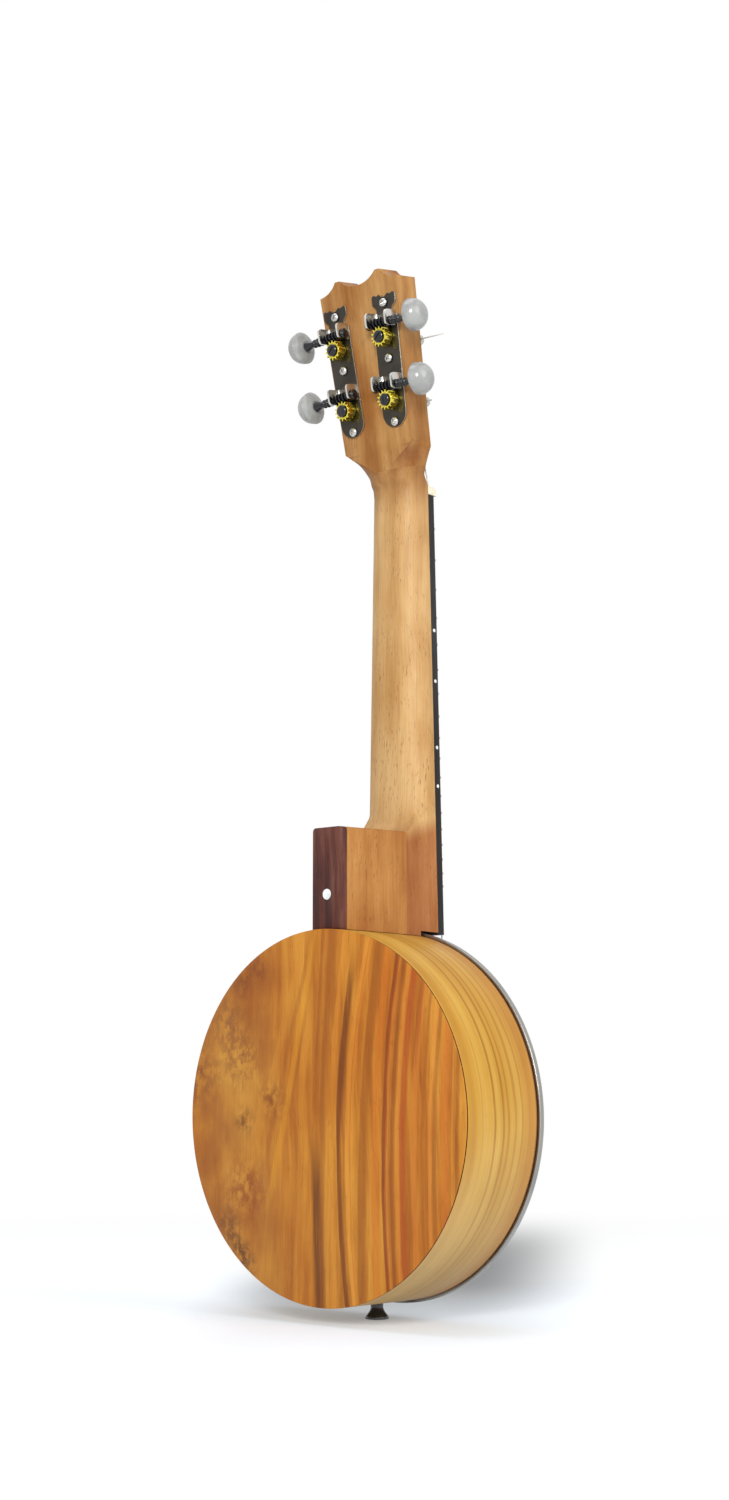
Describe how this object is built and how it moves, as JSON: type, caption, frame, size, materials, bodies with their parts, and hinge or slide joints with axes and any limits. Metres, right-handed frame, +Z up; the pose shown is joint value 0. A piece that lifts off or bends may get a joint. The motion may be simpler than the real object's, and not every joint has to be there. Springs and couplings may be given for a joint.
{
  "type": "banjo ukulele",
  "caption": "Soprano banjo ukulele with a backed wooden rim, a screwed drum head hoop, a heeled neck on a dowel stick and open worm tuners.",
  "frame": {"origin": "centre of the back's flat outer face", "axes": "+Z up the neck to the headstock, +Y out of the back, so the drum head looks along -Y, +X towards the treble side"},
  "size_m": [0.198, 0.0778, 0.575],
  "materials": {
    "rim_wood": "gloss lacquer",
    "back_wood": "gloss lacquer",
    "dowel_wood": "bare",
    "neck_wood": "satin lacquer",
    "heel_wood": "satin lacquer",
    "cap_wood": "satin lacquer",
    "board_wood": "oiled",
    "bridge_wood": "bare",
    "bone": "polished",
    "pearl": "pearlescent gloss",
    "drum_film": "coated",
    "nylon": "clear gloss",
    "nickel": "nickel plate",
    "dark_chrome": "dark polish",
    "plate_metal": "aged gunmetal",
    "black_metal": "black nickel",
    "brass": "polished"
  },
  "bodies": {
    "root": {"rim": "rim_wood", "back_plate": "back_wood", "drum_head": "drum_film", "tension_hoop": "nickel", "head_screw_1": "nickel", "head_screw_2": "nickel", "head_screw_3": "nickel", "head_screw_4": "nickel", "head_screw_5": "nickel", "head_screw_6": "nickel", "head_screw_7": "nickel", "head_screw_8": "nickel", "head_screw_9": "nickel", "dowel_stick": "dowel_wood", "strap_button": "dark_chrome", "tailpiece": "nickel", "neck": "neck_wood", "heel_cap": "cap_wood", "heel_dot": "pearl", "heel_block": "heel_wood", "fingerboard": "board_wood", "nut": "bone", "bridge": "bridge_wood", "headstock": "neck_wood", "tuner_plate_bass": "plate_metal", "tuner_plate_treble": "plate_metal", "plate_screw_bass_1": "nickel", "plate_screw_bass_2": "nickel", "plate_screw_bass_3": "nickel", "plate_screw_treble_1": "nickel", "plate_screw_treble_2": "nickel", "plate_screw_treble_3": "nickel", "bushing_bass_upper": "nickel", "bushing_bass_lower": "nickel", "bushing_treble_upper": "nickel", "bushing_treble_lower": "nickel", "string_1": "nylon", "string_2": "nylon", "string_3": "nylon", "string_4": "nylon"},
    "key_bass_upper": {"worm_shaft_bass_upper": "black_metal", "key_button_bass_upper": "pearl"},
    "key_bass_lower": {"worm_shaft_bass_lower": "black_metal", "key_button_bass_lower": "pearl"},
    "key_treble_upper": {"worm_shaft_treble_upper": "black_metal", "key_button_treble_upper": "pearl"},
    "key_treble_lower": {"worm_shaft_treble_lower": "black_metal", "key_button_treble_lower": "pearl"},
    "post_bass_upper": {"tuner_post_bass_upper": "nickel", "tuner_gear_bass_upper": "brass", "gear_screw_bass_upper": "black_metal"},
    "post_bass_lower": {"tuner_post_bass_lower": "nickel", "tuner_gear_bass_lower": "brass", "gear_screw_bass_lower": "black_metal"},
    "post_treble_upper": {"tuner_post_treble_upper": "nickel", "tuner_gear_treble_upper": "brass", "gear_screw_treble_upper": "black_metal"},
    "post_treble_lower": {"tuner_post_treble_lower": "nickel", "tuner_gear_treble_lower": "brass", "gear_screw_treble_lower": "black_metal"}
  },
  "joints": [
    {"name": "key_turn_bass_upper", "type": "hinge", "parent": "root", "child": "key_bass_upper", "pos_m": [-0.01777, -0.02675, 0.43379], "axis": [0.9992, 0.0077, 0.0394], "continuous": true},
    {"name": "key_turn_bass_lower", "type": "hinge", "parent": "root", "child": "key_bass_lower", "pos_m": [-0.01637, -0.03348, 0.39948], "axis": [0.9992, 0.0077, 0.0394], "continuous": true},
    {"name": "key_turn_treble_upper", "type": "hinge", "parent": "root", "child": "key_treble_upper", "pos_m": [0.01777, -0.02675, 0.43379], "axis": [0.9992, -0.0077, -0.0394], "continuous": true},
    {"name": "key_turn_treble_lower", "type": "hinge", "parent": "root", "child": "key_treble_lower", "pos_m": [0.01637, -0.03348, 0.39948], "axis": [0.9992, -0.0077, -0.0394], "continuous": true},
    {"name": "post_turn_bass_upper", "type": "hinge", "parent": "root", "child": "post_bass_upper", "pos_m": [-0.01747, -0.03391, 0.42741], "axis": [0, 0.9813, -0.1925], "continuous": true, "deforming": ["string_3"]},
    {"name": "post_turn_bass_lower", "type": "hinge", "parent": "root", "child": "post_bass_lower", "pos_m": [-0.01606, -0.04065, 0.39309], "axis": [0, 0.9813, -0.1925], "continuous": true, "deforming": ["string_4"]},
    {"name": "post_turn_treble_upper", "type": "hinge", "parent": "root", "child": "post_treble_upper", "pos_m": [0.01747, -0.03391, 0.42741], "axis": [0, 0.9813, -0.1925], "continuous": true, "deforming": ["string_2"]},
    {"name": "post_turn_treble_lower", "type": "hinge", "parent": "root", "child": "post_treble_lower", "pos_m": [0.01606, -0.04065, 0.39309], "axis": [0, 0.9813, -0.1925], "continuous": true, "deforming": ["string_1"]}
  ],
  "couplings": [
    {"joint": "post_turn_bass_upper", "follows": "key_turn_bass_upper", "ratio": -0.071429},
    {"joint": "post_turn_bass_lower", "follows": "key_turn_bass_lower", "ratio": -0.071429},
    {"joint": "post_turn_treble_upper", "follows": "key_turn_treble_upper", "ratio": -0.071429},
    {"joint": "post_turn_treble_lower", "follows": "key_turn_treble_lower", "ratio": -0.071429}
  ]
}
